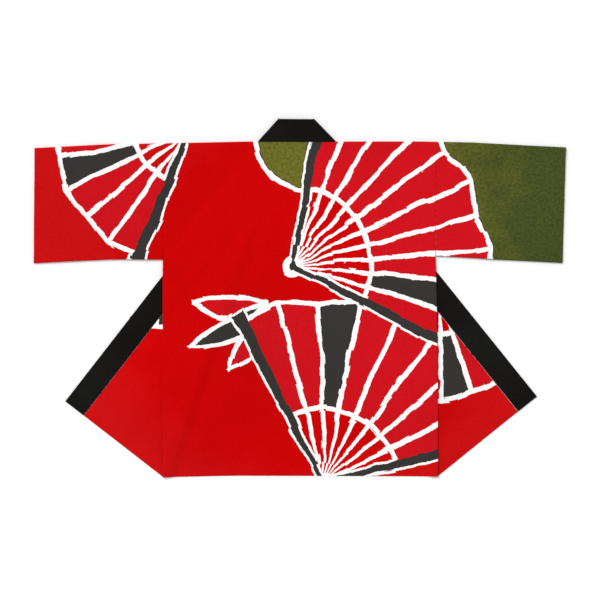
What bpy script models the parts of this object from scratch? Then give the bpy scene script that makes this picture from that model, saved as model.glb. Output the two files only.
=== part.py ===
"""A happi coat laid flat on its front, seen from behind.

Both fronts are folded out beneath the back along a slanting crease that starts
at the hem corner. From the floor up the layers are: the turned part of each
front with its collar, the unturned part of each front, and the back. The
sleeves are flat tubes. The collar is one stiff band that is mitred at the two
neck points and stands above the shoulder line at the nape.

Metres, +Z up. The coat is drawn with the shoulder line at y = 0 and the hem
below it, and is centred on the origin at the end. Left is the wearer's left,
which lies at -X.
"""
import math
from collections import namedtuple

import bmesh
import bpy
from mathutils import Vector
from mathutils.geometry import intersect_line_line_2d, tessellate_polygon

# Walls, and the room between pieces that touch
CLOTH = 0.0012
COLLAR = 0.0024
GAP = 0.0003
WELD = 0.00002

# Heights of the undersides of the stacked layers, from the floor
OVER_CLOTH = CLOTH + GAP
OVER_COLLAR = COLLAR + GAP
NAPE_UNDERSIDE = 2 * OVER_COLLAR
BACK_OVER_NECK = 2 * OVER_COLLAR
SHOULDER_UNDERSIDE = 0.003
SLEEVE_OPENING = 0.0016

# How far the round creases reach out past the edges of the layers that they join
SHOULDER_REACH = (SHOULDER_UNDERSIDE + CLOTH) / 2
MITRE_REACH = (OVER_COLLAR + COLLAR) / 2

# How far a raised layer reaches past what lifts it, and how it falls from there
LIFT_MARGIN = 0.003
LIFT_FALL = ((0.0, 1.0), (0.008, 0.84), (0.022, 0.18), (0.032, 0.0))
NECK_SAG = ((0.0, 1.0), (0.045, 0.80), (0.110, 0.22), (0.160, 0.0))
CREASE_MARGIN = 0.008
CREASE_REACH = 0.020
SEAM_STEP_MARGIN = 0.004
SEAM_STEP_REACH = 0.014

# A crease is a half circle of this many flats
CREASE_FLATS = 4

# The nape band's seam lies this far under the shoulder line, clear of the creases beside it
NAPE_SEAM_DROP = 0.0018

# Each side of the coat. Points are (x, y), and the armhole runs from shoulder to underarm.
Side = namedtuple(
    "Side",
    "name sign shoulder underarm flare hem_corner front_width collar_width fold_angle "
    "neck_point nape_corner shoulder_bend sleeve_top sleeve_bottom cuff_top cuff_bottom",
)
LEFT = Side(
    name="left",
    sign=-1,
    shoulder=(-0.3425, -0.0048),
    underarm=(-0.3425, -0.2960),
    flare=(-0.3425, -0.5500),
    hem_corner=(-0.3425, -0.8390),
    front_width=0.2513,
    collar_width=0.0580,
    fold_angle=math.radians(71.10),
    neck_point=(-0.1050, 0.0),
    nape_corner=(-0.0530, 0.0575),
    shoulder_bend=(-0.1250, 0.0),
    sleeve_top=(-0.4750, -0.0068),
    sleeve_bottom=(-0.4700, -0.2952),
    cuff_top=(-0.6627, -0.0165),
    cuff_bottom=(-0.6647, -0.3048),
)
RIGHT = Side(
    name="right",
    sign=1,
    shoulder=(0.3395, -0.0008),
    underarm=(0.3385, -0.2870),
    flare=(0.3440, -0.5500),
    hem_corner=(0.3440, -0.8370),
    front_width=0.2584,
    collar_width=0.0603,
    fold_angle=math.radians(109.40),
    neck_point=(0.0900, 0.0),
    nape_corner=(0.0343, 0.0570),
    shoulder_bend=(0.3000, 0.0),
    sleeve_top=(0.4275, -0.0024),
    sleeve_bottom=(0.5275, -0.2974),
    cuff_top=(0.6635, -0.0150),
    cuff_bottom=(0.6553, -0.3040),
)

# The hem of the back between the two corners
HEM_POINTS = ((-0.2375, -0.8365), (-0.1600, -0.8350), (0.2125, -0.8362))

# Where the straight edge of each front starts to slant toward the neck point
COLLAR_BEND_Y = -0.443

# The collar's width where it turns the neck points, a little eased from its width on the fronts
NAPE_WIDTH = 0.055

SLEEVE_RINGS = 8
SLEEVE_COLUMNS = 9
SLEEVE_CREASE_REACH = 0.12

# The slant, across the two axes, that picks the corner from which a cell's triangles spread
FAN_SLANT = 0.37

RED = (0.58, 0.001, 0.002)
BLACK = (0.012, 0.011, 0.011)
CLOTH_ROUGHNESS = 0.85
COLLAR_ROUGHNESS = 0.90


# Plane geometry

def toward(angle):
    """The unit vector at an angle."""
    return Vector((math.cos(angle), math.sin(angle)))


def left_of(direction):
    """The unit vector a quarter turn to the left of a direction."""
    return Vector((-direction.y, direction.x)).normalized()


def crossing(first, second):
    """Where two lines, each a (point, direction) pair, cross."""
    reach = 3.0
    start, run = first
    other, way = second
    return intersect_line_line_2d(
        start - reach * run, start + reach * run, other - reach * way, other + reach * way
    )


def mirrored(point, line):
    """A point reflected in a line."""
    start, direction = line
    foot = start + direction * (point - start).dot(direction)
    return 2 * foot - point


def beyond(point, line, away):
    """How far a point lies past a line, on the side that the vector away points to."""
    start, _ = line
    return (Vector(point) - start).dot(away)


def fall(distance, steps=LIFT_FALL):
    """The share of its height that a raised layer keeps at a distance from what lifts it."""
    if distance <= steps[0][0]:
        return steps[0][1]
    for (near, high), (far, low) in zip(steps, steps[1:]):
        if distance <= far:
            return high + (low - high) * (distance - near) / (far - near)
    return steps[-1][1]


def slope(distance, near, far, high, low):
    """A straight ramp from high at near to low at far."""
    share = min(max((distance - near) / (far - near), 0.0), 1.0)
    return high + (low - high) * share


class FrontPlan:
    """The lines and corners of one front, unturned and turned out beneath the back."""

    def __init__(self, side):
        self.side = side
        inward = -side.sign
        corner = Vector(side.hem_corner)
        self.fold = (corner, toward(side.fold_angle))
        self.fold_inward = Vector((self.fold[1].y, -self.fold[1].x)) * inward
        seam_x = corner.x + inward * side.front_width
        free_x = seam_x + inward * side.collar_width
        self.set_mitre()
        free_at_neck = self.neck + Vector((inward * NAPE_WIDTH, 0.0))
        seam_bend = Vector((seam_x, COLLAR_BEND_Y))
        free_bend = Vector((free_x, COLLAR_BEND_Y))
        seam_line = (seam_bend, (self.neck - seam_bend).normalized())
        free_line = (free_bend, (free_at_neck - free_bend).normalized())
        self.seam_on_fold = crossing(seam_line, self.fold)
        self.free_on_fold = crossing(free_line, self.fold)
        self.turned_seam_hem = mirrored(Vector((seam_x, corner.y)), self.fold)
        self.turned_free_hem = mirrored(Vector((free_x, corner.y)), self.fold)
        self.turned_seam_bend = mirrored(seam_bend, self.fold)
        self.turned_free_bend = mirrored(free_bend, self.fold)
        self.turned_seam = self.line(self.seam_on_fold, self.turned_seam_bend)
        self.turned_free = self.line(self.free_on_fold, self.turned_free_bend)
        self.seam_to_free = left_of(self.turned_seam[1]) * -inward
        self.free_outward = left_of(self.turned_free[1]) * -inward
        self.neck_seam = self.line(self.seam_on_fold, self.neck)
        self.neck_outward = left_of(self.neck_seam[1]) * inward

    def set_mitre(self):
        """The collar's mitre, moved in so that its crease ends on the visible slanting edge."""
        corner, top = Vector(self.side.neck_point), Vector(self.side.nape_corner)
        direction = (top - corner).normalized()
        self.mitre_outward = left_of(direction) * -self.side.sign
        inner = (corner - self.mitre_outward * MITRE_REACH, direction)
        level = Vector((1.0, 0.0))
        self.neck = crossing(inner, (Vector((0.0, -NAPE_SEAM_DROP)), level))
        self.mitre_top = top - self.mitre_outward * MITRE_REACH
        self.crease_start = corner.x + self.side.sign * (NAPE_SEAM_DROP + 2 * GAP)

    @staticmethod
    def line(start, end):
        return (start, (end - start).normalized())

    def unturned_height(self, point):
        """The underside of the unturned front, from the floor."""
        before_seam = -beyond(point, self.turned_seam, self.seam_to_free)
        past_free = beyond(point, self.turned_free, self.free_outward)
        over_turned = slope(before_seam, SEAM_STEP_MARGIN, SEAM_STEP_REACH, OVER_COLLAR, OVER_CLOTH)
        over_turned *= fall(past_free - LIFT_MARGIN)
        off_fold = -beyond(point, self.fold, self.fold_inward)
        at_fold = slope(off_fold, CREASE_MARGIN, CREASE_MARGIN + CREASE_REACH, OVER_COLLAR, 0.0)
        off_neck = beyond(point, self.neck_seam, self.neck_outward)
        at_neck = OVER_COLLAR * fall(off_neck - LIFT_MARGIN)
        return max(over_turned, at_fold, at_neck)

    def back_height(self, point):
        """The underside of the back over this front, falling to the floor inside the fold."""
        past_fold = beyond(point, self.fold, self.fold_inward)
        if past_fold > 0:
            return (OVER_COLLAR + OVER_CLOTH) * fall(past_fold - LIFT_MARGIN)
        below = shoulder_y(point[0]) - point[1]
        settled = CREASE_MARGIN + CREASE_REACH
        at_shoulder = slope(below, CREASE_MARGIN, settled, SHOULDER_UNDERSIDE, OVER_CLOTH)
        return max(self.unturned_height(point) + OVER_CLOTH, at_shoulder)

    def front_cuts(self):
        """The lines along which the unturned front bends."""
        cuts = []
        for distance in (SEAM_STEP_MARGIN, SEAM_STEP_REACH):
            cuts.append(self.moved(self.turned_seam, -self.seam_to_free * distance))
        for distance, _ in LIFT_FALL:
            cuts.append(self.moved(self.turned_free, self.free_outward * (LIFT_MARGIN + distance)))
            cuts.append(self.moved(self.neck_seam, self.neck_outward * (LIFT_MARGIN + distance)))
        for distance in (CREASE_MARGIN, CREASE_MARGIN + CREASE_REACH):
            cuts.append(self.moved(self.fold, -self.fold_inward * distance))
        return cuts

    def centre_cuts(self):
        """The lines along which the back falls to the floor inside the fold."""
        return [
            self.moved(self.fold, self.fold_inward * (LIFT_MARGIN + distance))
            for distance, _ in LIFT_FALL
        ]

    @staticmethod
    def moved(line, step):
        return (line[0] + step, line[1])


# The shoulder line, and the back's height where the fronts and the neck lift it

def shoulder_y(x):
    """The shoulder line, which droops a little toward each sleeve."""
    for side in (LEFT, RIGHT):
        bend_x, bend_y = side.shoulder_bend
        edge_x, edge_y = side.shoulder
        if side.sign * x > side.sign * bend_x:
            return bend_y + (edge_y - bend_y) * (x - bend_x) / (edge_x - bend_x)
    return 0.0


def shoulder_lines():
    """The three straight stretches of the shoulder line."""
    left, right = Vector(LEFT.shoulder_bend), Vector(RIGHT.shoulder_bend)
    return (
        (left, (left - Vector(LEFT.shoulder)).normalized()),
        (left, Vector((1.0, 0.0))),
        (right, (Vector(RIGHT.shoulder) - right).normalized()),
    )


def neck_height(point, plans):
    """The back's height where the collar's mitred ends lift it beside the neck."""
    beside = max(beyond(point, plan.neck_seam, plan.neck_outward) for plan in plans)
    below = min(plan.seam_on_fold.y for plan in plans) - point[1]
    return BACK_OVER_NECK * min(fall(beside - LIFT_MARGIN), fall(below - LIFT_MARGIN, NECK_SAG))


def back_height(point, plans):
    """The underside of the back, from the floor."""
    return max(neck_height(point, plans), *[plan.back_height(point) for plan in plans])


# Cutting a flat outline into cells

def cells(outline, cuts):
    """An outline cut into convex cells. Each cut is a line, and a test of where it counts."""
    mesh = bmesh.new()
    mesh.faces.new([mesh.verts.new((x, y, 0.0)) for x, y in outline])
    for (start, direction), counts in cuts:
        faces = [face for face in mesh.faces if counts(face.calc_center_median().xy)]
        edges = {edge for face in faces for edge in face.edges}
        verts = {vert for face in faces for vert in face.verts}
        normal = left_of(direction)
        bmesh.ops.bisect_plane(
            mesh,
            geom=list(verts) + list(edges) + faces,
            dist=WELD,
            plane_co=(start.x, start.y, 0.0),
            plane_no=(normal.x, normal.y, 0.0),
        )
    found = [[vert.co.xy.copy() for vert in face.verts] for face in mesh.faces]
    mesh.free()
    return found


def everywhere(_):
    return True


class Sheet:
    """A folded sheet's middle surface, thickened to a closed solid."""

    def __init__(self, thickness):
        self.thickness = thickness
        self.points = []
        self.normals = []
        self.triangles = []

    def point(self, position, normal):
        """The number of the point here, which is added if it is new."""
        for number, known in enumerate(self.points):
            if (known - position).length_squared < WELD * WELD:
                return number
        self.points.append(Vector(position))
        self.normals.append(Vector(normal))
        return len(self.points) - 1

    def fan(self, numbers):
        """Triangles over a convex cell, always spread from the same corner of it."""
        def order(index):
            place = self.points[numbers[index]]
            return place.x + FAN_SLANT * place.y

        first = min(range(len(numbers)), key=order)
        turned = numbers[first:] + numbers[:first]
        for near, far in zip(turned[1:], turned[2:]):
            if len({turned[0], near, far}) == 3:
                self.triangles.append((turned[0], near, far))

    def plate(self, found, height, up):
        """A layer of cells whose underside has the given height at each place.

        The normals point up or down, so that they turn steadily round a crease between layers.
        """
        normal = Vector((0.0, 0.0, up))
        for cell in found:
            numbers = []
            for place in cell:
                z = height(place) + self.thickness / 2
                numbers.append(self.point(Vector((place.x, place.y, z)), normal))
            self.fan(numbers)

    def flat(self, outline, up):
        """A layer flat on the floor, of any outline."""
        normal = Vector((0.0, 0.0, up))
        corners = [Vector((place.x, place.y, self.thickness / 2)) for place in outline]
        numbers = [self.point(corner, normal) for corner in corners]
        for triangle in tessellate_polygon([corners]):
            self.triangles.append(tuple(numbers[corner] for corner in triangle))

    def crease(self, places, outward, low, high, up):
        """A half round from a low layer to a high one along a row of places.

        The low layer's normals point the way that up says, and the high layer's the other way.
        """
        rows = []
        for place in places:
            rows.append(crease_row(place, outward, low(place), high(place), up))
        for row, following in zip(rows, rows[1:]):
            for near, far in zip(zip(row, row[1:]), zip(following, following[1:])):
                corners = (near[0], near[1], far[1], far[0])
                numbers = [self.point(position, normal) for position, normal in corners]
                self.fan(numbers)

    def edges(self):
        """The edges of the middle surface that have a triangle on one side only."""
        seen = {}
        for triangle in self.triangles:
            for start, end in zip(triangle, triangle[1:] + triangle[:1]):
                seen[frozenset((start, end))] = seen.get(frozenset((start, end)), 0) + 1
        return [tuple(pair) for pair, count in seen.items() if count == 1]

    def solid(self, name, colour, roughness):
        """The thickened sheet as a named object."""
        mesh = bmesh.new()
        half = self.thickness / 2
        pairs = zip(self.points, self.normals)
        sides = [(mesh.verts.new(p + n * half), mesh.verts.new(p - n * half)) for p, n in pairs]
        for triangle in self.triangles:
            for face in (0, 1):
                mesh.faces.new([sides[number][face] for number in triangle])
        for start, end in self.edges():
            mesh.faces.new((sides[start][0], sides[end][0], sides[end][1], sides[start][1]))
        bmesh.ops.recalc_face_normals(mesh, faces=mesh.faces)
        return finished(mesh, name, colour, roughness)


def crease_row(place, outward, low, high, up):
    """Positions and normals round one crease, from the low layer to the high one."""
    radius = (high - low) / 2
    middle = Vector((place.x, place.y, (high + low) / 2))
    row = []
    for step in range(CREASE_FLATS + 1):
        turn = math.pi * step / CREASE_FLATS
        out = outward.to_3d() * math.sin(turn)
        rise = Vector((0.0, 0.0, math.cos(turn)))
        row.append((middle + (out - rise) * radius, (rise - out) * up))
    return row


def finished(mesh, name, colour, roughness):
    """A mesh as an object with its own material."""
    data = bpy.data.meshes.new(name)
    mesh.to_mesh(data)
    mesh.free()
    material = bpy.data.materials.new(name)
    material.use_nodes = True
    shader = material.node_tree.nodes["Principled BSDF"]
    shader.inputs["Base Color"].default_value = (*colour, 1.0)
    shader.inputs["Roughness"].default_value = roughness
    data.materials.append(material)
    piece = bpy.data.objects.new(name, data)
    bpy.context.scene.collection.objects.link(piece)
    return piece


def along(places, line):
    """The places that lie on a line, in order along it, with near copies left out."""
    start, direction = line
    normal = left_of(direction)
    on_line = [place for place in places if abs((place - start).dot(normal)) < WELD]
    on_line.sort(key=lambda place: (place - start).dot(direction))
    kept = on_line[:1]
    for place in on_line[1:]:
        if (place - kept[-1]).length > WELD:
            kept.append(place)
    return kept


# The pieces

def plate_top(x):
    """The upper edge of the body's flat layers, inside the shoulder crease."""
    return shoulder_y(x) - SHOULDER_REACH


def front(plan):
    """One front: the part turned out flat on the floor, the crease and the unturned part."""
    side = plan.side
    step_back = plan.neck_outward * GAP
    seam = (plan.neck_seam[0] + step_back, plan.neck_seam[1])
    corner = crossing(seam, plan.fold)
    top_inner = Vector((plan.neck.x, 0.0)) + step_back
    top_inner.y = plate_top(top_inner.x) - GAP
    outline = [Vector(side.hem_corner), corner, top_inner]
    bend = Vector((side.shoulder_bend[0], plate_top(side.shoulder_bend[0]) - GAP))
    if side.sign * bend.x > side.sign * top_inner.x:
        outline.append(bend)
    outline.append(Vector((side.shoulder[0], plate_top(side.shoulder[0]) - GAP)))
    outline.append(Vector(side.underarm))
    outline.append(Vector(side.flare))
    found = cells(outline, [(cut, everywhere) for cut in plan.front_cuts() + shoulder_cuts()])
    sheet = Sheet(CLOTH)
    sheet.plate(found, plan.unturned_height, -1)
    on_fold = along([place for cell in found for place in cell], plan.fold)
    sheet.crease(
        on_fold,
        plan.fold_inward,
        lambda place: CLOTH / 2,
        lambda place: plan.unturned_height(place) + CLOTH / 2,
        1,
    )
    turned_step = -plan.seam_to_free * GAP
    turned = on_fold + [plan.turned_seam_bend + turned_step, plan.turned_seam_hem + turned_step]
    sheet.flat(turned, 1)
    return sheet.solid("front_" + side.name, RED, CLOTH_ROUGHNESS)


def shoulder_cuts():
    """The lines under the shoulder along which the back settles onto the fronts."""
    cuts = []
    for start, direction in shoulder_lines():
        for distance in (CREASE_MARGIN, CREASE_MARGIN + CREASE_REACH):
            cuts.append((start - Vector((0.0, distance)), direction))
    return cuts


def back_cuts(plans):
    """The lines along which the back bends, each with a test of where it counts."""
    def in_centre(place):
        return min(beyond(place, plan.fold, plan.fold_inward) for plan in plans) > 0

    cuts = [(plan.fold, everywhere) for plan in plans]
    for plan in plans:
        over_front = covering(plan)
        cuts += [(cut, over_front) for cut in plan.front_cuts() + shoulder_cuts()]
    for plan in plans:
        cuts += [(cut, in_centre) for cut in plan.centre_cuts()]
    level = Vector((1.0, 0.0))
    lowest = min(plan.seam_on_fold.y for plan in plans)
    for distance, _ in NECK_SAG:
        cuts.append(((Vector((0.0, lowest - LIFT_MARGIN - distance)), level), everywhere))
    for plan in plans:
        crease_end = (Vector((plan.crease_start, 0.0)), Vector((0.0, 1.0)))
        cuts.append((crease_end, near_shoulder))
    return cuts


def covering(plan):
    """A test of whether a place on the back covers this front."""
    return lambda place: beyond(place, plan.fold, plan.fold_inward) < 0


def near_shoulder(place):
    return place.y > -2 * CREASE_MARGIN


def back(plans):
    """The back, with the shoulder creases down to where the fronts begin."""
    outline = [Vector(point) for point in (LEFT.hem_corner, *HEM_POINTS, RIGHT.hem_corner)]
    outline += [Vector(RIGHT.flare), Vector(RIGHT.underarm)]
    shoulders = (RIGHT.shoulder, RIGHT.shoulder_bend, LEFT.shoulder_bend, LEFT.shoulder)
    outline += [Vector((x, plate_top(x))) for x, _ in shoulders]
    outline += [Vector(LEFT.underarm), Vector(LEFT.flare)]
    found = cells(outline, back_cuts(plans))
    sheet = Sheet(CLOTH)
    sheet.plate(found, lambda place: back_height(place, plans), -1)
    places = [place for cell in found for place in cell]
    for plan in plans:
        add_shoulder_creases(sheet, places, plan, plans)
    return sheet.solid("back", RED, CLOTH_ROUGHNESS)


def add_shoulder_creases(sheet, places, plan, plans):
    """The crease of one shoulder, from the armhole to the neck point."""
    sign = plan.side.sign
    row = []
    for place in sorted(places, key=lambda place: place.x):
        on_edge = abs(place.y - plate_top(place.x)) < WELD
        past_neck = sign * place.x > sign * plan.crease_start - WELD
        if on_edge and past_neck and (not row or place.x - row[-1].x > WELD):
            row.append(place)
    sheet.crease(
        row,
        Vector((0.0, 1.0)),
        lambda place: plan.unturned_height(place) + CLOTH / 2,
        lambda place: back_height(place, plans) + CLOTH / 2,
        1,
    )


def collar_half(plan):
    """Rows of (seam side, free side) from one hem to the nape, each (position, normal)."""
    low = COLLAR / 2
    middle = low + OVER_COLLAR
    high = NAPE_UNDERSIDE + COLLAR / 2
    flat = ((plan.turned_seam_hem, plan.turned_free_hem), (plan.turned_seam_bend, plan.turned_free_bend))
    rows = []
    for seam, free in flat:
        rows.append([(Vector((p.x, p.y, low)), Vector((0.0, 0.0, 1.0))) for p in (seam, free)])
    fold = (plan.seam_on_fold, plan.free_on_fold)
    columns = [crease_row(place, plan.fold_inward, low, middle, 1) for place in fold]
    rows += [list(row) for row in zip(*columns)]
    mitre = (plan.neck, plan.mitre_top)
    columns = [crease_row(place, plan.mitre_outward, middle, high, -1) for place in mitre]
    rows += [list(row) for row in zip(*columns)]
    return rows


def collar(plans):
    """The collar band, in one length from hem to hem."""
    left, right = (collar_half(plan) for plan in plans)
    rows = left + right[::-1]
    mesh = bmesh.new()
    half = COLLAR / 2
    rings = []
    for (seam, seam_normal), (free, free_normal) in rows:
        corners = (
            seam + seam_normal * half,
            free + free_normal * half,
            free - free_normal * half,
            seam - seam_normal * half,
        )
        rings.append([mesh.verts.new(corner) for corner in corners])
    skin(mesh, rings)
    mesh.faces.new(rings[0])
    mesh.faces.new(rings[-1])
    bmesh.ops.recalc_face_normals(mesh, faces=mesh.faces)
    return finished(mesh, "collar", BLACK, COLLAR_ROUGHNESS)


def skin(mesh, rings):
    """Triangles between rings of equal length."""
    for ring, following in zip(rings, rings[1:]):
        count = len(ring)
        for number in range(count):
            after = (number + 1) % count
            mesh.faces.new((ring[number], ring[after], following[after]))
            mesh.faces.new((ring[number], following[after], following[number]))


def sleeve(side):
    """One sleeve: a flat tube, open at the armhole and at the cuff."""
    start_x = side.shoulder[0] + side.sign * GAP
    mesh = bmesh.new()
    walls = ([], [])
    for step in range(SLEEVE_RINGS):
        share = step / (SLEEVE_RINGS - 1)
        top = bent(Vector((start_x, side.shoulder[1])), side.sleeve_top, side.cuff_top, share)
        bottom = bent(Vector((start_x, side.underarm[1])), side.sleeve_bottom, side.cuff_bottom, share)
        middle = sleeve_ring(top, bottom, share)
        for wall, offset in zip(walls, (CLOTH / 2, -CLOTH / 2)):
            wall.append([mesh.verts.new(position + normal * offset) for position, normal in middle])
    for wall in walls:
        skin(mesh, wall)
    for end in (0, -1):
        skin(mesh, [walls[0][end], walls[1][end]])
    bmesh.ops.recalc_face_normals(mesh, faces=mesh.faces)
    return finished(mesh, "sleeve_" + side.name, RED, CLOTH_ROUGHNESS)


def bent(start, bend, end, share):
    """A point at a share of the way along x, on an edge with one bend in it."""
    bend, end = Vector(bend), Vector(end)
    x = start.x + (end.x - start.x) * share
    to_bend = (x - start.x) / (bend.x - start.x)
    if to_bend < 1:
        return start.lerp(bend, to_bend)
    return bend.lerp(end, (x - bend.x) / (end.x - bend.x))


def sleeve_ring(top, bottom, share):
    """The middle of the sleeve's wall round one section, with its normals."""
    down = (bottom - top).normalized()
    low = CLOTH / 2
    high = SHOULDER_UNDERSIDE + CLOTH / 2
    inset = down * SHOULDER_REACH
    first, last = top + inset, bottom - inset
    ring = crease_row(first, -down, low, high, -1)
    for column in range(1, SLEEVE_COLUMNS):
        run = column / SLEEVE_COLUMNS
        place = first.lerp(last, run)
        z = sleeve_height(run, share) + CLOTH / 2
        ring.append((Vector((place.x, place.y, z)), Vector((0.0, 0.0, 1.0))))
    ring += crease_row(last, down, low, high, -1)[::-1]
    for column in range(SLEEVE_COLUMNS - 1, 0, -1):
        place = first.lerp(last, column / SLEEVE_COLUMNS)
        ring.append((Vector((place.x, place.y, low)), Vector((0.0, 0.0, -1.0))))
    return ring


def sleeve_height(run, share):
    """The underside of the sleeve's upper layer: loose at its creases and open toward the cuff."""
    off_crease = min(run, 1 - run)
    loose = slope(off_crease, 0.0, SLEEVE_CREASE_REACH, SHOULDER_UNDERSIDE, OVER_CLOTH)
    return loose + SLEEVE_OPENING * math.sin(math.pi * run) * min(1.0, 2 * share)


def centre_on_origin(pieces):
    """Moves the coat so that its box stands centred on the origin."""
    corners = [vert.co for piece in pieces for vert in piece.data.vertices]
    middle_x = (min(c.x for c in corners) + max(c.x for c in corners)) / 2
    middle_y = (min(c.y for c in corners) + max(c.y for c in corners)) / 2
    for piece in pieces:
        piece.location = (-middle_x, -middle_y, 0.0)


def main():
    for thing in list(bpy.data.objects):
        bpy.data.objects.remove(thing)
    plans = [FrontPlan(LEFT), FrontPlan(RIGHT)]
    pieces = [back(plans), collar(plans)]
    for plan in plans:
        pieces.append(front(plan))
        pieces.append(sleeve(plan.side))
    centre_on_origin(pieces)


main()
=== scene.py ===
"""The looks of a happi coat that lies flat on its front, seen from straight above.

Each cut piece is a thin shell of cloth on the middle of its solid's wall, with rounded edges, doubled
hems and soft waves that all its layers share. The print is worked out from formulas in the cloth's own
coordinates, so that it runs on over the armhole seams and round the folds.

Garment coordinates are metres with the shoulder line at y = 0. Cloth coordinates are the same on the
back, and go on upward over the shoulder fold onto the fronts and the lower layers of the sleeves.
"""
import math
from collections import namedtuple
from functools import cache

import bmesh
import bpy
import numpy as np
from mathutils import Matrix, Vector, noise
from mathutils.bvhtree import BVHTree


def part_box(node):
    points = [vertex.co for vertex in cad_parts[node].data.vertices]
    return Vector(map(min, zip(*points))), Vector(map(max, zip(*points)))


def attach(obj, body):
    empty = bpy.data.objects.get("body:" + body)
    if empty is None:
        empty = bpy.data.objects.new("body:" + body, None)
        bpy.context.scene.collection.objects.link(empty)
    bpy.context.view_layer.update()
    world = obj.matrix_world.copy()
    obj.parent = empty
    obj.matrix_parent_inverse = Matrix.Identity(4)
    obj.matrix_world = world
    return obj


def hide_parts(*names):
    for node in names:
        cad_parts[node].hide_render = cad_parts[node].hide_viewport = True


# The solids' walls, and the cloth on the middle of them
CLOTH_WALL = 0.0012
COLLAR_WALL = 0.0024
CLOTH = 0.0008
HEM_CLOTH = 0.0012
COLLAR = 0.0020
HEM_WIDTH = 0.014
HEM_SLOPE = 0.003

# Meshes are split and thinned in steps down to the edge length, to so many triangles for its square
EDGE = 0.006
WELD = 0.00002
REFINE_STEPS = (8, 4, 2, 1)
REFINE_ROUNDS = 6
TRIANGLES = 4.4
RELAX_ROUNDS = 6
RELAX_SHARE = 0.6

# The least upward part of a normal where a wall's side starts, and where its points are evened out
LEVEL = 0.98
NEARLY_LEVEL = 0.95

# Edges that bend less than this may be turned, and a wall's side ends where its faces turn by more
FLAT_ANGLE = 0.12
RIM_ANGLE = math.radians(66)

# Rounded rims, centred so many half thicknesses inside a piece's edge. They clear their neighbours.
RIM_STEPS = 4
CLOTH_INSET = 0.7
FRONT_INSET = 1.4
COLLAR_INSET = 1.2

# The share of a bend's radius that half a shell's thickness may fill
BEND_SHARE = 0.8

# A shell's materials, and its UV map
OUTSIDE = 0
INSIDE = 1
CLOTH_MAP = "cloth"

# Stitches: the profile's rows are (share of the length, share of the thickness)
STITCH_PITCH = 0.0034
STITCH_LENGTH = 0.0026
STITCH_SIDES = 6
STITCH_SINK = 0.75
THREAD = 0.00055
STITCH_PROFILE = ((-0.5, 0.35), (-0.25, 0.9), (0.0, 1.0), (0.25, 0.9), (0.5, 0.35))
HEM_STITCH = 0.0115
COLLAR_STITCH = 0.0030
COLLAR_RUN = 0.50
RAY_HEIGHT = 0.1

# The garment's own measures
HALF_BODY = 0.3425
HEM_DROP = 0.8375
CUFF_REACH = 0.6640
Side = namedtuple("Side", "name sign hem_corner fold_angle front_width cuff_top cuff_bottom")
LEFT = Side(
    "left", -1, (-0.3425, -0.8390), math.radians(71.10), 0.2513, (-0.6627, -0.0165), (-0.6647, -0.3048)
)
RIGHT = Side(
    "right", 1, (0.3440, -0.8370), math.radians(109.40), 0.2584, (0.6635, -0.0150), (0.6553, -0.3040)
)
HEM_POINTS = (
    (-0.3425, -0.8390), (-0.2375, -0.8365), (-0.1600, -0.8350), (0.2125, -0.8362), (0.3440, -0.8370),
)

# What each piece was cut to, without its hems and seams, and what it lies on. A sleeve's is all round.
Cut = namedtuple("Cut", "width length held rests_on")

# Soft waves, turned in degrees from x, and the ripples between them. Slices are heights in the noise.
Wave = namedtuple("Wave", "length turn start height")
WAVES = (
    Wave(0.410, 24.0, 0.6, 0.00052),
    Wave(0.270, 78.0, 2.1, 0.00046),
    Wave(0.190, -38.0, 4.0, 0.00034),
    Wave(0.120, 9.0, 1.3, 0.00020),
)
RIPPLE_SCALE = 9.0
RIPPLE_SLICE = 0.37
RIPPLE_HEIGHT = 0.0034

# Puckers beside the hems and the body's side edges, and how far in they go
PUCKER_SCALE = 34.0
PUCKER_SLICE = 0.81
PUCKER_HEIGHT = 0.0012
PUCKER_WIDTH = 0.020

# The share of the waves in the lowest layer, and the height from which a layer has them whole
LYING = 0.12
LOOSE = 0.0045

# The fronts are cut from another length of the printed cloth, which starts this much lower down
FRONT_LENGTH = -3.0

# Dyes, and the grey of the painted sheen on the black collar
RED = (0.535, 0.0008, 0.0012)
FAN_RED = (0.560, 0.0060, 0.0110)
WHITE = (0.90, 0.90, 0.89)
OLIVE = (0.158, 0.149, 0.020)
DEEP_OLIVE = (0.062, 0.076, 0.0165)
OLIVE_FROM = 0.26
OLIVE_TO = 0.56
OLIVE_CLOUDS = 14.0
OLIVE_CLOUDINESS = 1.2
OLIVE_SPECKS = 150.0
SPECK_CONTRAST = 2.8
SPECK_SHARE = 0.38
OLIVE_SPECK = (0.52, 0.62, 0.78)
CHARCOAL = (0.036, 0.033, 0.031)
HAIR = (0.045, 0.016, 0.020)
BLACK = (0.0068, 0.0058, 0.0050)
# Painted sheen: the collar's black greys toward this in broad clouds, which also carry uneven dye
SHEEN_GREY_BLACK = (0.0092, 0.0090, 0.0080)
SHEEN_CLOUDS = 5.0
SHEEN_CLOUD_CONTRAST = 3.0
BLACK_GRAIN = 2.2
INSIDE_TINT = (0.66, 0.30, 0.27)
INSIDE_SHARE = 0.5

# The green in a colour lies between these where the ground is olive
OLIVE_GREEN = (0.02, 0.4)

# The red pales toward the garment's outer parts, between these distances from its middle
PALE_RED = (0.550, 0.0050, 0.0060)
PALE_FROM = 0.40
PALE_TO = 0.56
PALE_CLOUDINESS = 0.8

# The print's lines: half of a white line, the thin dark line beside it, and a fan's details
LINE = 0.0058
HAIRLINE = 0.0019
GUARD = 0.0150
GUARD_TAPER = 0.35
GUARD_REACH = 1.03
PIVOT = 0.020
RIVET = 0.009
PLEAT = 0.035
STICK_TAPER = 0.22
FAN_INNER = 0.40
LEAF_SWELL = 4.0

# How far the stencil's edge strays, as (scale of the noise, reach in metres)
WOBBLES = ((9.0, 0.022), (45.0, 0.0034), (150.0, 0.0028))
NICK_SCALE = 24.0
NICK_REACH = 0.0045

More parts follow.
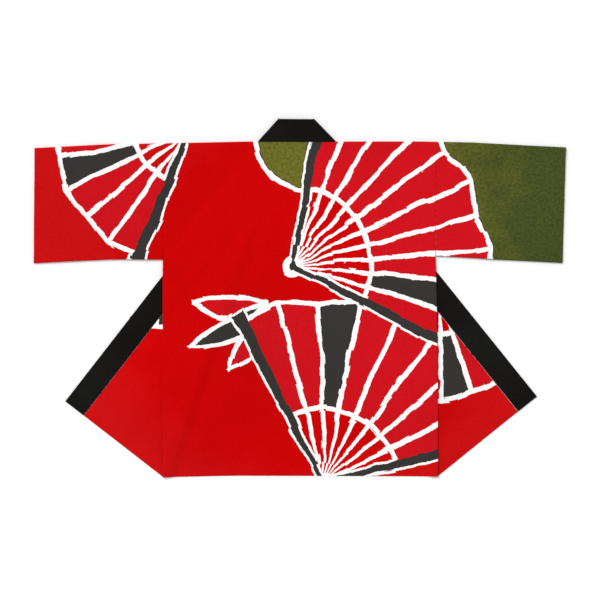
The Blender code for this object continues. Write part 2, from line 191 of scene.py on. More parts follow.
# Olive areas inside (sign 1) or outside (sign -1) of a circle, beyond a limit in their own axes
Pond = namedtuple("Pond", "pivot turn reach sign limit")
PONDS = (
    Pond((0.020, 0.012), 0.0, 0.132, 1.0, -9.0),
    Pond((-0.020, -0.310), 30.0, 0.450, -1.0, 0.34),
)

# Bamboo leaves, charcoal where dark is 1. They sway to the sides by so many waves.
Leaf = namedtuple("Leaf", "pivot turn length sway bends width dark")
LEAVES = (
    Leaf((-0.085, -0.405), 180.0, 0.180, 0.010, 0.55, 0.026, 0.0),
    Leaf((-0.085, -0.405), 211.0, 0.215, 0.012, 0.55, 0.026, 1.0),
    Leaf((-0.085, -0.405), 242.0, 0.190, 0.012, 0.55, 0.028, 0.0),
)

# Folding fans: half is half of the opening angle, and dark the number of the charcoal panel
Fan = namedtuple("Fan", "pivot turn half reach folds dark")
FANS = (
    Fan((0.060, -0.855), 66.0, 51.0, 0.465, 8.0, 5.0),
    Fan((-0.020, -0.310), 26.0, 53.0, 0.495, 10.0, 1.0),
    Fan((-0.275, 0.030), 206.0, 42.0, 0.345, 6.0, 2.0),
    Fan((0.050, FRONT_LENGTH + 0.480), 52.0, 50.0, 0.270, 6.0, 3.0),
    Fan((-0.030, FRONT_LENGTH + 0.440), 130.0, 44.0, 0.130, 5.0, 2.0),
)

# The cloth's threads and the unevenness of its dye: the scales of their noise
WEAVE = 0.0009
FINE_MOTTLE = 170.0
BROAD_MOTTLE = 11.0
THREAD_MOTTLE = 420.0
THREAD_SQUEEZE = 0.06
DYE_CLOUDS = 2.3

# How much each of them lightens and darkens the dye, and how high the threads stand in the bump
FINE_SHADE = 0.34
BROAD_SHADE = 0.10
THREAD_SHADE = 0.16
WEAVE_SHADE = 0.16
CLOUD_SHADE = 0.34
WEAVE_RELIEF = 0.8
THREAD_RELIEF = 0.7
BUMP_STRENGTH = 0.5
BUMP_DISTANCE = 0.0003

# Matt cotton
ROUGHNESS = 0.88
SPECULAR = 0.02
SHEEN = 0.004
SHEEN_ROUGHNESS = 0.5

# The mix node's sockets for colours
MIX_SHARE = 0
MIX_BELOW = 6
MIX_ABOVE = 7
MIX_RESULT = 2

# The photograph's frame: 600 pixels of 2.5 mm
VIEW_WIDTH = 1.5
LENS = 85.0
SENSOR = 36.0
VIEW_CENTRE = (0.0006, -0.0052)

# The light: an even white sky and a broad key from the upper left
SKY = 0.68
KEY = 1.98
KEY_FROM = (-1.0, 1.1, 1.7)
KEY_SPREAD = 24.0

# The floor, just under the cloth
FLOOR_COLOUR = (0.88, 0.88, 0.88, 1.0)
FLOOR_ROUGHNESS = 0.9
FLOOR_SPECULAR = 0.1
FLOOR_HALF = 30.0
FLOOR_GAP = 0.0002

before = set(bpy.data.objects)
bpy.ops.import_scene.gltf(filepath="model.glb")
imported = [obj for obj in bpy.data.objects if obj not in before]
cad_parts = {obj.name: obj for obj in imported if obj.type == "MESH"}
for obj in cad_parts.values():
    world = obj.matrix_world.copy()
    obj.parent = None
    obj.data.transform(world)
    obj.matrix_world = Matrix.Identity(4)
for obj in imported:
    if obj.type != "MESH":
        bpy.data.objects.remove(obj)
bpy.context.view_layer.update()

# Where the garment's shoulder line and centre line lie in the frame
SHIFT = Vector((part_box("back")[0].x + HALF_BODY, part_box("back")[1].y, 0.0))


def linked(name, data):
    """A new object in the scene."""
    made = bpy.data.objects.new(name, data)
    bpy.context.scene.collection.objects.link(made)
    return made


# Waves that every layer shares

def edge_distance(place):
    """How far a place is from the nearest hem, cuff or side edge."""
    spot = place - SHIFT
    return min(abs(HEM_DROP + spot.y), abs(CUFF_REACH - abs(spot.x)), abs(HALF_BODY - abs(spot.x)))


def ripple(place):
    """How far the loose cloth lifts at a place, never below zero. Lower layers lift less."""
    lift = 0.0
    for wave in WAVES:
        turn = math.radians(wave.turn)
        run = place.x * math.cos(turn) + place.y * math.sin(turn)
        lift += wave.height * (1 + math.sin(2 * math.pi * run / wave.length + wave.start))
    soft = noise.noise(Vector((place.x, place.y, RIPPLE_SLICE)) * RIPPLE_SCALE)
    lift += RIPPLE_HEIGHT * max(0.0, soft)
    fine = noise.noise(Vector((place.x, place.y, PUCKER_SLICE)) * PUCKER_SCALE)
    lift += PUCKER_HEIGHT * (0.5 + fine) * math.exp(-edge_distance(place) / PUCKER_WIDTH)
    return lift * (LYING + (1.0 - LYING) * min(place.z / LOOSE, 1.0))


# Shells on the solids

def wall_side(name, outermost=False):
    """One side of a node's wall as an open mesh, spread from its highest or its outermost level face."""
    mesh = bmesh.new()
    mesh.from_mesh(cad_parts[name].data)
    bmesh.ops.remove_doubles(mesh, verts=mesh.verts, dist=WELD)
    bmesh.ops.dissolve_degenerate(mesh, edges=mesh.edges, dist=WELD)
    bmesh.ops.triangulate(mesh, faces=mesh.faces)
    mesh.normal_update()
    level = [face for face in mesh.faces if face.normal.z > LEVEL]
    if outermost:
        start = max(level, key=lambda face: abs(face.calc_center_median().x))
    else:
        start = max(level, key=lambda face: face.calc_center_median().z)
    side = {start}
    waiting = [start]
    while waiting:
        face = waiting.pop()
        for edge in face.edges:
            for other in edge.link_faces:
                if other not in side and face.normal.angle(other.normal, 0.0) < RIM_ANGLE:
                    side.add(other)
                    waiting.append(other)
    rest = [face for face in mesh.faces if face not in side]
    bmesh.ops.delete(mesh, geom=rest, context="FACES")
    mesh.normal_update()
    return mesh


def to_middle(mesh, wall):
    """Moves a wall's side to the middle of the wall."""
    steps = [vert.normal * (wall / 2) for vert in mesh.verts]
    for vert, step in zip(mesh.verts, steps):
        vert.co -= step
    mesh.normal_update()


def refine(mesh, longest):
    """Splits the edges until next to none is longer than this."""
    for _ in range(REFINE_ROUNDS):
        split = [edge for edge in mesh.edges if edge.calc_length() > longest]
        if not split:
            break
        bmesh.ops.subdivide_edges(mesh, edges=split, cuts=1)
        bmesh.ops.triangulate(mesh, faces=mesh.faces, quad_method="SHORT_EDGE")
    beautify(mesh)


def thinned(mesh, longest):
    """Joins the shortest edges of the level stretches, where long thin triangles were split."""
    wanted = TRIANGLES * sum(face.calc_area() for face in mesh.faces) / longest ** 2
    data = bpy.data.meshes.new("draft")
    mesh.to_mesh(data)
    draft = linked("draft", data)
    draft.modifiers.new("thin", "DECIMATE").ratio = min(wanted / len(data.polygons), 1.0)
    mesh.clear()
    mesh.from_object(draft, bpy.context.evaluated_depsgraph_get())
    bmesh.ops.dissolve_degenerate(mesh, edges=mesh.edges, dist=WELD)
    bmesh.ops.triangulate(mesh, faces=mesh.faces)
    bpy.data.objects.remove(draft)
    bpy.data.meshes.remove(data)


def even_mesh(mesh):
    """Gives an open mesh small triangles of like size, in ever shorter steps."""
    for share in REFINE_STEPS:
        refine(mesh, EDGE * share)
        thinned(mesh, EDGE * share)
    relax(mesh, RELAX_ROUNDS)


def beautify(mesh):
    """Turns the edges inside level stretches for better triangles."""
    mesh.normal_update()
    inner = [
        edge for edge in mesh.edges
        if len(edge.link_faces) == 2
        and edge.link_faces[0].normal.angle(edge.link_faces[1].normal, 0.0) < FLAT_ANGLE
    ]
    faces = list({face for edge in inner for face in edge.link_faces})
    bmesh.ops.beautify_fill(mesh, faces=faces, edges=inner, method="ANGLE")


def relax(mesh, rounds):
    """Evens out the points inside level stretches, which also softens the steps between layers."""
    mesh.normal_update()
    mesh.verts.index_update()
    places = np.array([vert.co for vert in mesh.verts])
    free = np.array([abs(vert.normal.z) > NEARLY_LEVEL and not vert.is_boundary for vert in mesh.verts])
    ends = np.array([[vert.index for vert in edge.verts] for edge in mesh.edges])
    count = np.bincount(ends.ravel(), minlength=len(places))[:, None]
    for _ in range(rounds):
        total = np.zeros_like(places)
        np.add.at(total, ends[:, 0], places[ends[:, 1]])
        np.add.at(total, ends[:, 1], places[ends[:, 0]])
        places[free] += RELAX_SHARE * (total / count - places)[free]
    for vert, place in zip(mesh.verts, places):
        vert.co = place
    beautify(mesh)


def fold_line(side):
    """A front's fold in garment coordinates: a point on it and its direction."""
    return Vector(side.hem_corner), Vector((math.cos(side.fold_angle), math.sin(side.fold_angle)))


def back_cloth(vert):
    place = vert.co - SHIFT
    return Vector((place.x, place.y))


def front_cloth(side):
    """Cloth coordinates on a front, where the turned part is unfolded first."""
    corner, direction = fold_line(side)

    def at(vert):
        place = (vert.co - SHIFT).xy
        if vert.normal.z > 0:
            foot = corner + direction * (place - corner).dot(direction)
            place = 2 * foot - place
        return Vector((place.x, FRONT_LENGTH - place.y))

    return at


def sleeve_cloth(name):
    """Cloth coordinates on a sleeve, whose lower layer goes on over the upper crease."""
    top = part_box(name)[1].y - SHIFT.y

    def at(vert):
        place = (vert.co - SHIFT).xy
        if vert.normal.z > 0:
            return place
        return Vector((place.x, 2 * top - place.y))

    return at


def hem_share(cloth, reach):
    """How much of a doubled hem a place has, from its cloth coordinates and their reach."""
    inside = min(reach.y - abs(cloth.y), reach.x - abs(cloth.x))
    return min(max((HEM_WIDTH + HEM_SLOPE - inside) / HEM_SLOPE, 0.0), 1.0)


def rim_frames(mesh):
    """For each edge point of an open mesh, the direction out of the cloth."""
    outward = {}
    for edge in mesh.edges:
        if not edge.is_boundary:
            continue
        face = edge.link_faces[0]
        middle = (edge.verts[0].co + edge.verts[1].co) / 2
        along = (edge.verts[1].co - edge.verts[0].co).normalized()
        out = middle - face.calc_center_median()
        out -= along * out.dot(along)
        for vert in edge.verts:
            outward[vert] = outward.get(vert, Vector()) + out.normalized()
    for vert, out in outward.items():
        out = out - vert.normal * out.dot(vert.normal)
        outward[vert] = out.normalized()
    return outward


def bends(mesh):
    """For each point, the sharpest bend toward the wrong side and toward the outside, as 1 / radius."""
    found = {vert: [1.0, 1.0] for vert in mesh.verts}
    for edge in mesh.edges:
        first, last = edge.verts
        run = last.co - first.co
        bend = (last.normal - first.normal).dot(run) / max(run.length_squared, WELD ** 2)
        for vert in edge.verts:
            found[vert][0] = max(found[vert][0], bend)
            found[vert][1] = max(found[vert][1], -bend)
    return found


class Shell:
    """An open mesh thickened to a closed shell. Its rounded rims are centred inset halves inside the edge."""

    def __init__(self, surface, half, cloth_at, inset):
        surface.normal_update()
        surface.verts.index_update()
        self.inset = inset
        self.places = []
        self.faces = []
        self.materials = []
        self.sources = []
        self.cloth = [cloth_at(vert) for vert in surface.verts]
        outward = rim_frames(surface)
        self.bends = bends(surface)
        self.rings = [self.ring(vert, half(vert), outward.get(vert)) for vert in surface.verts]
        for face in surface.faces:
            numbers = [vert.index for vert in face.verts]
            self.face([(number, 0) for number in numbers], OUTSIDE)
            self.face([(number, -1) for number in reversed(numbers)], INSIDE)
        for edge in surface.edges:
            if edge.is_boundary:
                self.rim(edge.link_loops[0])
        surface.free()

    def ring(self, vert, half, out):
        """The numbers of the points over one surface point, from its outer to its wrong side."""
        if out is None:
            inner, outer = [min(half, BEND_SHARE / bend) for bend in self.bends[vert]]
            steps = [vert.normal * outer, vert.normal * -inner]
        else:
            turns = [math.pi * step / RIM_STEPS for step in range(RIM_STEPS + 1)]
            steps = [
                (vert.normal * math.cos(turn) + out * (math.sin(turn) - self.inset)) * half for turn in turns
            ]
        first = len(self.places)
        self.places += [vert.co + step for step in steps]
        return list(range(first, len(self.places)))

    def face(self, corners, material):
        """Adds a face from (surface point, place in its ring) corners."""
        self.faces.append([self.rings[number][step] for number, step in corners])
        self.sources += [number for number, _ in corners]
        self.materials.append(material)

    def rim(self, loop):
        first, last = loop.vert.index, loop.link_loop_next.vert.index
        for step in range(RIM_STEPS):
            self.face([(last, step), (first, step), (first, step + 1), (last, step + 1)], OUTSIDE)

    def build(self, name, materials):
        """The shell as an object, with its cloth coordinates as a UV map."""
        data = bpy.data.meshes.new(name)
        data.from_pydata(self.places, [], self.faces)
        layer = data.uv_layers.new(name=CLOTH_MAP)
        coordinates = np.array([self.cloth[number] for number in self.sources], np.float32)
        layer.data.foreach_set("uv", coordinates.ravel())
        for material in materials:
            data.materials.append(material)
        last = len(materials) - 1
        data.polygons.foreach_set("material_index", [min(side, last) for side in self.materials])
        data.shade_smooth()
        return linked(name, data)


def wavy_surface(name, wall, outermost=False):
    """The middle of a node's wall as an evenly meshed surface with the shared waves."""
    surface = wall_side(name, outermost)
    to_middle(surface, wall)
    even_mesh(surface)
    for vert in surface.verts:
        vert.co.z += ripple(vert.co)
    return surface


def cloth_piece(name, cloth_at, materials):
    """One cut piece of the red cloth, with doubled hems."""
    front = name.startswith("front")
    shoulder = Vector((0.0, FRONT_LENGTH if front else 0.0))
    reach = Vector((CUFF_REACH, HEM_DROP))

    def half(vert):
        share = hem_share(cloth_at(vert) - shoulder, reach)
        return (CLOTH + (HEM_CLOTH - CLOTH) * share) / 2

    surface = wavy_surface(name, CLOTH_WALL, outermost=front)
    shell = Shell(surface, half, cloth_at, FRONT_INSET if front else CLOTH_INSET)
    return shell.build(name + "_cloth", materials)


def collar_piece(material):
    """The collar band, doubled and a little stiff."""
    surface = wavy_surface("collar", COLLAR_WALL)
    shell = Shell(surface, lambda vert: COLLAR / 2, back_cloth, COLLAR_INSET)
    return shell.build("collar_band", [material])


# Numbers and colours in a node tree

class Num:
    """A number in a node tree, with ordinary arithmetic."""

    def __init__(self, socket):
        self.socket = socket

    def math(self, operation, *others):
        tree = self.socket.id_data
        node = tree.nodes.new("ShaderNodeMath")
        node.operation = operation
        for put, value in zip(node.inputs, (self, *others)):
            feed(tree, put, value)
        return Num(node.outputs[0])

    def __add__(self, other):
        return self.math("ADD", other)

    def __sub__(self, other):
        return self.math("SUBTRACT", other)

    def __mul__(self, other):
        return self.math("MULTIPLY", other)

    def __truediv__(self, other):
        return self.math("DIVIDE", other)

    def __neg__(self):
        return self.math("MULTIPLY", -1.0)

    def __abs__(self):
        return self.math("ABSOLUTE")

    def least(self, other):
        return self.math("MINIMUM", other)

    def most(self, other):
        return self.math("MAXIMUM", other)

    def below(self, other):
        """1 where this is less than the other, else 0."""
        return self.math("LESS_THAN", other)

    def limited(self):
        return self.most(0.0).least(1.0)


def feed(tree, put, value):
    """Gives an input a number, a colour or another node's output."""
    if isinstance(value, Num):
        value = value.socket
    if isinstance(value, bpy.types.NodeSocket):
        tree.links.new(value, put)
    elif isinstance(value, tuple) and len(value) == 3 and put.type == "RGBA":
        put.default_value = (*value, 1.0)
    else:
        put.default_value = value


def vector_node(tree, kind, *values, operation=None):
    node = tree.nodes.new(kind)
    if operation:
        node.operation = operation
    for put, value in zip(node.inputs, values):
        feed(tree, put, value)
    return node


def mixed(tree, share, below, above, blend="MIX"):
    """One colour over another, by a share."""
    node = tree.nodes.new("ShaderNodeMix")
    node.data_type = "RGBA"
    node.blend_type = blend
    feed(tree, node.inputs[MIX_SHARE], share)
    feed(tree, node.inputs[MIX_BELOW], below)
    feed(tree, node.inputs[MIX_ABOVE], above)
    return node.outputs[MIX_RESULT]


def noise_at(tree, place, scale, detail=2.0, stretch=(1.0, 1.0, 1.0), colour=False):
    """A noise texture's value, or its colour, at a place."""
    if stretch != (1.0, 1.0, 1.0):
        place = vector_node(tree, "ShaderNodeVectorMath", place, stretch, operation="MULTIPLY").outputs[0]
    node = tree.nodes.new("ShaderNodeTexNoise")
    feed(tree, node.inputs["Vector"], place)
    node.inputs["Scale"].default_value = scale
    node.inputs["Detail"].default_value = detail
    return node.outputs["Color"] if colour else Num(node.outputs["Fac"])


# The print's motifs, each a node group that paints over the colour below it

def motif(name, numbers, colours=("Below",)):
    """A new group with its inputs: the place, the pivot, colours and numbers."""
    tree = bpy.data.node_groups.new(name, "ShaderNodeTree")
    for label in ("Place", "Pivot"):
        tree.interface.new_socket(label, in_out="INPUT", socket_type="NodeSocketVector")
    for label in colours:
        tree.interface.new_socket(label, in_out="INPUT", socket_type="NodeSocketColor")
    for label in numbers:
        tree.interface.new_socket(label, in_out="INPUT", socket_type="NodeSocketFloat")
    tree.interface.new_socket("Colour", in_out="OUTPUT", socket_type="NodeSocketColor")
    given = tree.nodes.new("NodeGroupInput")
    sockets = {out.name: Num(out) if out.type == "VALUE" else out for out in given.outputs}
    return tree, sockets


def painted(tree, colour):
    out = tree.nodes.new("NodeGroupOutput")
    tree.links.new(colour, out.inputs[0])
    return tree


def turned_place(tree, given):
    """The place in the motif's own axes, as x and y, and its distance from the pivot."""
    offset = vector_node(tree, "ShaderNodeVectorMath", given["Place"], given["Pivot"], operation="SUBTRACT")
    turn = tree.nodes.new("ShaderNodeVectorRotate")
    turn.rotation_type = "Z_AXIS"
    turn.invert = True
    feed(tree, turn.inputs["Vector"], offset.outputs[0])
    feed(tree, turn.inputs["Angle"], given["Turn"])
    parts = vector_node(tree, "ShaderNodeSeparateXYZ", turn.outputs[0])
    length = vector_node(tree, "ShaderNodeVectorMath", offset.outputs[0], operation="LENGTH")
    return Num(parts.outputs[0]), Num(parts.outputs[1]), Num(length.outputs["Value"])


def outlined(tree, below, distance):
    """A white line round a shape, with a thin dark one where olive meets it, and white inside it."""
    green = Num(vector_node(tree, "ShaderNodeSeparateColor", below).outputs[1])
    least, most = OLIVE_GREEN
    on_olive = green.math("GREATER_THAN", least) * green.below(most)
    dark = mixed(tree, distance.below(LINE + HAIRLINE) * on_olive, below, HAIR)
    return mixed(tree, distance.below(LINE), dark, WHITE)


@cache
def fan_group():
    """An open folding fan: a pleated leaf on sticks between two dark guards."""
    tree, given = motif("folding_fan", ("Turn", "Half", "Reach", "Inner", "Folds", "Dark"))
    x, y, radius = turned_place(tree, given)
    angle = y.math("ARCTAN2", x)
    half, reach, inner = given["Half"], given["Reach"], given["Inner"]
    step = half * 2.0 / given["Folds"]
    fold = angle / step + given["Folds"] * 0.5
    near_line = (-abs(fold.math("FRACT") - 0.5) + 0.5) * step * radius
    zigzag = abs((fold * 0.5).math("FRACT") - 0.5) * 2.0
    edge = reach * (zigzag * -PLEAT + 1.0)
    beside = (abs(angle) - half) * radius
    leaf = (radius - edge).most(inner - radius).most(beside)
    taper = (radius / inner).limited() * (1.0 - STICK_TAPER) + STICK_TAPER
    line = near_line - taper * LINE
    sticks = (radius - inner).most(beside).most(line)
    thick = (radius / reach * (1.0 - GUARD_TAPER) + GUARD_TAPER) * GUARD
    guard = (abs(abs(angle) - half) * radius - thick).most(radius - reach * GUARD_REACH)
    whole = leaf.least(sticks + LINE).least(guard).least(radius - PIVOT)
    colour = outlined(tree, given["Below"], whole)
    fill = mixed(tree, abs(fold.math("FLOOR") - given["Dark"]).below(0.5), FAN_RED, CHARCOAL)
    colour = mixed(tree, (leaf + LINE).most(-line).below(0.0), colour, fill)
    colour = mixed(tree, guard.below(0.0), colour, CHARCOAL)
    colour = mixed(tree, radius.below(RIVET), colour, CHARCOAL)
    return painted(tree, colour)


@cache
def leaf_group():
    """A long bamboo leaf that starts at the pivot, pointed at both ends."""
    tree, given = motif("leaf", ("Turn", "Length", "Sway", "Bends", "Width", "Dark"))
    x, y, _ = turned_place(tree, given)
    run = x / given["Length"]
    bend = (run * given["Bends"] * (2.0 * math.pi)).math("SINE") * given["Sway"]
    swell = run.limited() * LEAF_SWELL * (-run.limited() + 1.0)
    distance = (abs(y - bend) - given["Width"] * swell).most(-x).most(x - given["Length"])
    colour = outlined(tree, given["Below"], distance)
    fill = mixed(tree, given["Dark"], FAN_RED, CHARCOAL)
    return painted(tree, mixed(tree, (distance + LINE).below(0.0), colour, fill))


@cache
def pond_group():
    """An olive area inside or outside of a circle, to one side of a limit."""
    tree, given = motif("pond", ("Turn", "Reach", "Sign", "Limit"), ("Below", "Olive"))
    x, _, radius = turned_place(tree, given)
    distance = ((radius - given["Reach"]) * given["Sign"]).most(given["Limit"] - x)
    colour = outlined(tree, given["Below"], distance)
    inner = distance + LINE
    colour = mixed(tree, inner.below(0.0), colour, HAIR)
    return painted(tree, mixed(tree, (inner + HAIRLINE).below(0.0), colour, given["Olive"]))


def stamped(tree, group, place, below, pivot, **given):
    """One motif painted over a colour."""
    node = tree.nodes.new("ShaderNodeGroup")
    node.node_tree = group
    feed(tree, node.inputs["Place"], place)
    feed(tree, node.inputs["Below"], below)
    node.inputs["Pivot"].default_value = (*pivot, 0.0)
    for label, value in given.items():
        feed(tree, node.inputs[label], value)
    return node.outputs["Colour"]


def strayed(tree, place, drift, reach):
    """A place moved in plan by a drift whose parts go from 0 to 1."""
    centred = vector_node(tree, "ShaderNodeVectorMath", drift, (0.5, 0.5, 0.5), operation="SUBTRACT")
    flat = (reach, reach, 0.0)
    step = vector_node(tree, "ShaderNodeVectorMath", centred.outputs[0], flat, operation="MULTIPLY")
    return vector_node(tree, "ShaderNodeVectorMath", place, step.outputs[0], operation="ADD").outputs[0]


def hand_cut(tree, place):
    """The place with the wobble, the small sideways nicks and the rough edge of a stencil cut by hand."""
    cells = tree.nodes.new("ShaderNodeTexVoronoi")
    feed(tree, cells.inputs["Vector"], place)
    cells.inputs["Scale"].default_value = NICK_SCALE
    place = strayed(tree, place, cells.outputs["Color"], NICK_REACH)
    for scale, reach in WOBBLES:
        place = strayed(tree, place, noise_at(tree, place, scale, colour=True), reach)
    return place


def olive_dye(tree, cloth):
    """The olive, which goes greener and darker in clouds toward the right cuff."""
    parts = vector_node(tree, "ShaderNodeSeparateXYZ", cloth)
    clouds = noise_at(tree, cloth, OLIVE_CLOUDS, 3.0)
    toward_cuff = (Num(parts.outputs[0]) - OLIVE_FROM) / (OLIVE_TO - OLIVE_FROM)
    share = (toward_cuff + (clouds - 0.5) * OLIVE_CLOUDINESS).limited()
    olive = mixed(tree, share, OLIVE, DEEP_OLIVE)
    specks = (noise_at(tree, cloth, OLIVE_SPECKS, 3.0) - 0.5) * SPECK_CONTRAST
    darker = mixed(tree, 1.0, olive, OLIVE_SPECK, "MULTIPLY")
    return mixed(tree, (specks + SPECK_SHARE).limited(), olive, darker)


def print_colour(tree, cloth, ground, olive):
    """The whole print at a place on the cloth, over the ground's colour."""
    place = hand_cut(tree, cloth)
    pond, leaf, fan = pond_group(), leaf_group(), fan_group()
    colour = ground
    for row in PONDS:
        colour = stamped(
            tree, pond, place, colour, row.pivot, Olive=olive, Turn=math.radians(row.turn), Reach=row.reach,
            Sign=row.sign, Limit=row.limit,
        )
    for row in LEAVES:
        colour = stamped(
            tree, leaf, place, colour, row.pivot, Turn=math.radians(row.turn), Length=row.length,
            Sway=row.sway, Bends=row.bends, Width=row.width, Dark=row.dark,
        )
    for row in FANS:
        colour = stamped(
            tree, fan, place, colour, row.pivot, Turn=math.radians(row.turn), Half=math.radians(row.half),
            Reach=row.reach, Inner=row.reach * FAN_INNER, Folds=row.folds, Dark=row.dark,
        )
    return colour


# Sewing. A spot stands for a mesh's point where only its place and normal are wanted.

Spot = namedtuple("Spot", "co normal")


def surface_over(piece):
    """A search tree of a piece, for the height of its top at a place."""
    corners = [vert.co for vert in piece.data.vertices]
    return BVHTree.FromPolygons(corners, [tuple(face.vertices) for face in piece.data.polygons])


def stitch(mesh, middle, along, up):
    """The faces of one raised stitch: a short spindle that sinks into the cloth at both ends."""
    across = along.cross(up)
    rings = []
    for share, thick in STITCH_PROFILE:
        centre = middle + along * (STITCH_LENGTH * share) + up * (THREAD * (thick - STITCH_SINK))
        ring = []
        for step in range(STITCH_SIDES):
            turn = 2 * math.pi * step / STITCH_SIDES
            out = across * math.cos(turn) + up * math.sin(turn)
            ring.append(mesh.verts.new(centre + out * (THREAD * thick / 2)))
        rings.append(ring)
    made = [mesh.faces.new(rings[0][::-1]), mesh.faces.new(rings[-1])]
    for ring, following in zip(rings, rings[1:]):
        for step in range(STITCH_SIDES):
            after = (step + 1) % STITCH_SIDES
            made.append(mesh.faces.new((ring[step], ring[after], following[after], following[step])))
    return made


def stitch_row(mesh, layer, tree, cloth_at, start, end):
    """A row of stitches on a piece's top between two places, with the cloth's own coordinates."""
    run = end - start
    count = int(run.length / STITCH_PITCH)
    down = Vector((0.0, 0.0, -1.0))
    for number in range(count):
        place = start + run * ((number + 0.5) / count)
        here, normal, _, _ = tree.ray_cast(Vector((place.x, place.y, RAY_HEIGHT)), down)
        if here:
            along = (run.to_3d() - normal * run.to_3d().dot(normal)).normalized()
            cloth = cloth_at(Spot(here, normal))
            for face in stitch(mesh, here, along, normal):
                for loop in face.loops:
                    loop[layer].uv = cloth


def sewing(name, piece, rows, cloth_at, material):
    """The stitches of one piece as a joined mesh."""
    mesh = bmesh.new()
    layer = mesh.loops.layers.uv.new(CLOTH_MAP)
    tree = surface_over(piece)
    for start, end in rows:
        stitch_row(mesh, layer, tree, cloth_at, Vector(start) + SHIFT.xy, Vector(end) + SHIFT.xy)
    data = bpy.data.meshes.new(name)
    mesh.to_mesh(data)
    mesh.free()
    data.materials.append(material)
    data.shade_smooth()
    return linked(name, data)


def inset(start, end, distance, trim=0.0):
    """A stretch moved to its left by a distance, and shortened at both ends."""
    start, end = Vector(start), Vector(end)
    run = (end - start).normalized()
    step = Vector((-run.y, run.x)) * distance
    return start + step + run * trim, end + step - run * trim


# Materials

def weave(tree, cloth, pitch):
    """The height of a plain weave, from 0 to 1."""
    parts = vector_node(tree, "ShaderNodeSeparateXYZ", cloth)
    turns = 2 * math.pi / pitch
    warp = (Num(parts.outputs[0]) * turns).math("SINE")
    weft = (Num(parts.outputs[1]) * turns).math("SINE")
    return warp * weft * 0.5 + 0.5


def threads(tree, cloth):
    """The slubs of the warp and the weft, each stretched along its threads."""
    along_y = noise_at(tree, cloth, THREAD_MOTTLE, 2.0, (1.0, THREAD_SQUEEZE, 1.0))
    along_x = noise_at(tree, cloth, THREAD_MOTTLE, 2.0, (THREAD_SQUEEZE, 1.0, 1.0))
    return along_y + along_x


def cloth_material(name, colouring, inside=False, grain=1.0):
    """Printed or plain cotton. The colour function given gives its colour, painted sheen included on the
    black, in a tree at a place.
    """
    material = bpy.data.materials.new(name)
    material.use_nodes = True
    tree = material.node_tree
    shader = tree.nodes["Principled BSDF"]
    source = tree.nodes.new("ShaderNodeUVMap")
    source.uv_map = CLOTH_MAP
    cloth = source.outputs[0]
    colour = colouring(tree, cloth)
    fine = noise_at(tree, cloth, FINE_MOTTLE, 3.0)
    broad = noise_at(tree, cloth, BROAD_MOTTLE, 2.0)
    slubs = threads(tree, cloth)
    clouds = noise_at(tree, cloth, DYE_CLOUDS, 1.0)
    woven = weave(tree, cloth, WEAVE)
    value = (fine - 0.5) * FINE_SHADE + (broad - 0.5) * BROAD_SHADE
    value = value + (slubs - 1.0) * THREAD_SHADE + (woven - 0.5) * WEAVE_SHADE
    value = value * grain + (clouds - 0.5) * CLOUD_SHADE + 1.0
    shade = tree.nodes.new("ShaderNodeCombineColor")
    for put in shade.inputs[:3]:
        feed(tree, put, value)
    colour = mixed(tree, 1.0, colour, shade.outputs[0], "MULTIPLY")
    if inside:
        colour = mixed(tree, INSIDE_SHARE, colour, INSIDE_TINT)
    feed(tree, shader.inputs["Base Color"], colour)
    shader.inputs["Roughness"].default_value = ROUGHNESS
    shader.inputs["Specular IOR Level"].default_value = SPECULAR
    shader.inputs["Sheen Weight"].default_value = SHEEN
    shader.inputs["Sheen Roughness"].default_value = SHEEN_ROUGHNESS
    bump = tree.nodes.new("ShaderNodeBump")
    bump.inputs["Strength"].default_value = BUMP_STRENGTH
    bump.inputs["Distance"].default_value = BUMP_DISTANCE
    feed(tree, bump.inputs["Height"], woven * WEAVE_RELIEF + slubs * THREAD_RELIEF)
    feed(tree, shader.inputs["Normal"], bump.outputs[0])
    return material


def red_dye(tree, cloth):
    """The print on its red ground, which pales in clouds toward the garment's outer parts."""
    where = tree.nodes.new("ShaderNodeTexCoord").outputs["Object"]
    reach = Num(vector_node(tree, "ShaderNodeVectorMath", where, operation="LENGTH").outputs["Value"])
    clouds = noise_at(tree, cloth, BROAD_MOTTLE, 2.0) - 0.5
    outer = ((reach - PALE_FROM) / (PALE_TO - PALE_FROM) + clouds * PALE_CLOUDINESS).limited()
    ground = mixed(tree, outer, RED, PALE_RED)
    return print_colour(tree, cloth, ground, olive_dye(tree, cloth))


def black_with_painted_sheen(tree, cloth):
    """Black that greys a little in broad clouds: painted sheen, together with uneven dye."""
    clouds = (noise_at(tree, cloth, SHEEN_CLOUDS, 2.0) * SHEEN_CLOUD_CONTRAST - 1.0).limited()
    return mixed(tree, clouds, BLACK, SHEEN_GREY_BLACK)


# The stage

def floor_material():
    material = bpy.data.materials.new("floor")
    material.use_nodes = True
    shader = material.node_tree.nodes["Principled BSDF"]
    shader.inputs["Base Color"].default_value = FLOOR_COLOUR
    shader.inputs["Roughness"].default_value = FLOOR_ROUGHNESS
    shader.inputs["Specular IOR Level"].default_value = FLOOR_SPECULAR
    return material


def floor():
    """A wide pale floor just under the cloth."""
    mesh = bmesh.new()
    bmesh.ops.create_grid(mesh, x_segments=1, y_segments=1, size=FLOOR_HALF)
    data = bpy.data.meshes.new("floor")
    mesh.to_mesh(data)
    mesh.free()
    data.materials.append(floor_material())
    piece = linked("floor", data)
    piece.location.z = -FLOOR_GAP


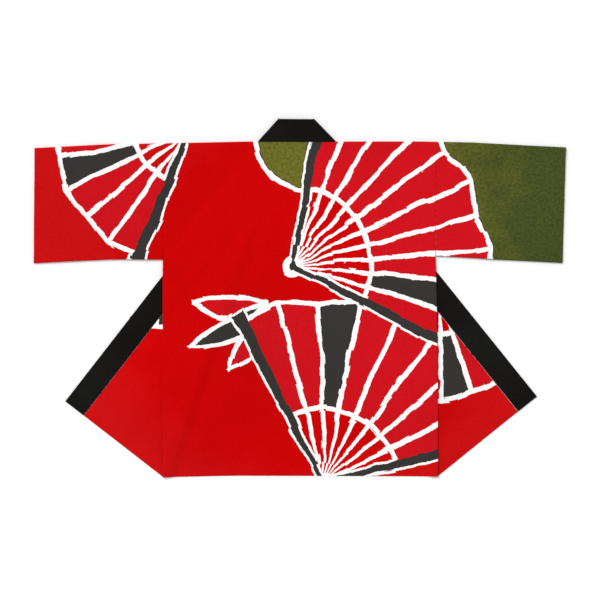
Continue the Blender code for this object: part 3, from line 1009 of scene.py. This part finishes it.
def stage():
    """The floor, the soft light and the camera straight above."""
    floor()
    world = bpy.data.worlds.new("studio")
    world.use_nodes = True
    background = world.node_tree.nodes["Background"]
    background.inputs["Color"].default_value = (1.0, 1.0, 1.0, 1.0)
    background.inputs["Strength"].default_value = SKY
    scene = bpy.context.scene
    scene.world = world
    scene.view_settings.view_transform = "Standard"
    data = bpy.data.lights.new("key", "SUN")
    data.energy = KEY
    data.angle = math.radians(KEY_SPREAD)
    light = linked("key", data)
    light.rotation_mode = "QUATERNION"
    light.rotation_quaternion = (-Vector(KEY_FROM)).to_track_quat("-Z", "Y")
    data = bpy.data.cameras.new("camera")
    data.lens = LENS
    data.sensor_width = SENSOR
    camera = linked("camera", data)
    camera.location = (*VIEW_CENTRE, VIEW_WIDTH * LENS / SENSOR)
    scene.camera = camera


def hem_rows():
    """The stitch rows of each piece's hem that shows, and of the collar's seam, in garment coordinates."""
    rows = {"back": [inset(start, end, HEM_STITCH) for start, end in zip(HEM_POINTS, HEM_POINTS[1:])]}
    rows["collar"] = []
    for side in (LEFT, RIGHT):
        corner, direction = fold_line(side)
        seam = Vector((corner.x - side.sign * side.front_width, corner.y))
        foot = corner + direction * (seam - corner).dot(direction)
        turned = 2 * foot - seam
        rows["front_" + side.name] = [inset(corner, turned, HEM_STITCH * side.sign, HEM_STITCH)]
        upward = seam + Vector((0.0, COLLAR_RUN))
        foot = corner + direction * (upward - corner).dot(direction)
        rows["collar"].append(inset(turned, 2 * foot - upward, -COLLAR_STITCH * side.sign, HEM_STITCH))
        top, bottom = side.cuff_top, side.cuff_bottom
        rows["sleeve_" + side.name] = [inset(top, bottom, -HEM_STITCH * side.sign, THREAD)]
    return rows


def placed(piece, stitches, name):
    """Hides the piece's node and puts the piece, with its stitches, on the root body."""
    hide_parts(name)
    for part in (piece, stitches):
        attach(part, "root")


def main():
    stage()
    red = cloth_material("printed_cloth", red_dye)
    wrong = cloth_material("printed_cloth_inside", red_dye, inside=True)
    # The collar's black, with painted sheen in greyer clouds
    black = cloth_material("black_cloth", black_with_painted_sheen, grain=BLACK_GRAIN)
    cloth_at = {"back": back_cloth}
    for side in (LEFT, RIGHT):
        cloth_at["front_" + side.name] = front_cloth(side)
        cloth_at["sleeve_" + side.name] = sleeve_cloth("sleeve_" + side.name)
    rows = hem_rows()
    for name, at in cloth_at.items():
        piece = cloth_piece(name, at, [red, wrong])
        stitches = sewing(name + "_stitches", piece, rows[name], at, red)
        placed(piece, stitches, name)
    band = collar_piece(black)
    stitches = sewing("collar_stitches", band, rows["collar"], back_cloth, black)
    placed(band, stitches, "collar")


main()
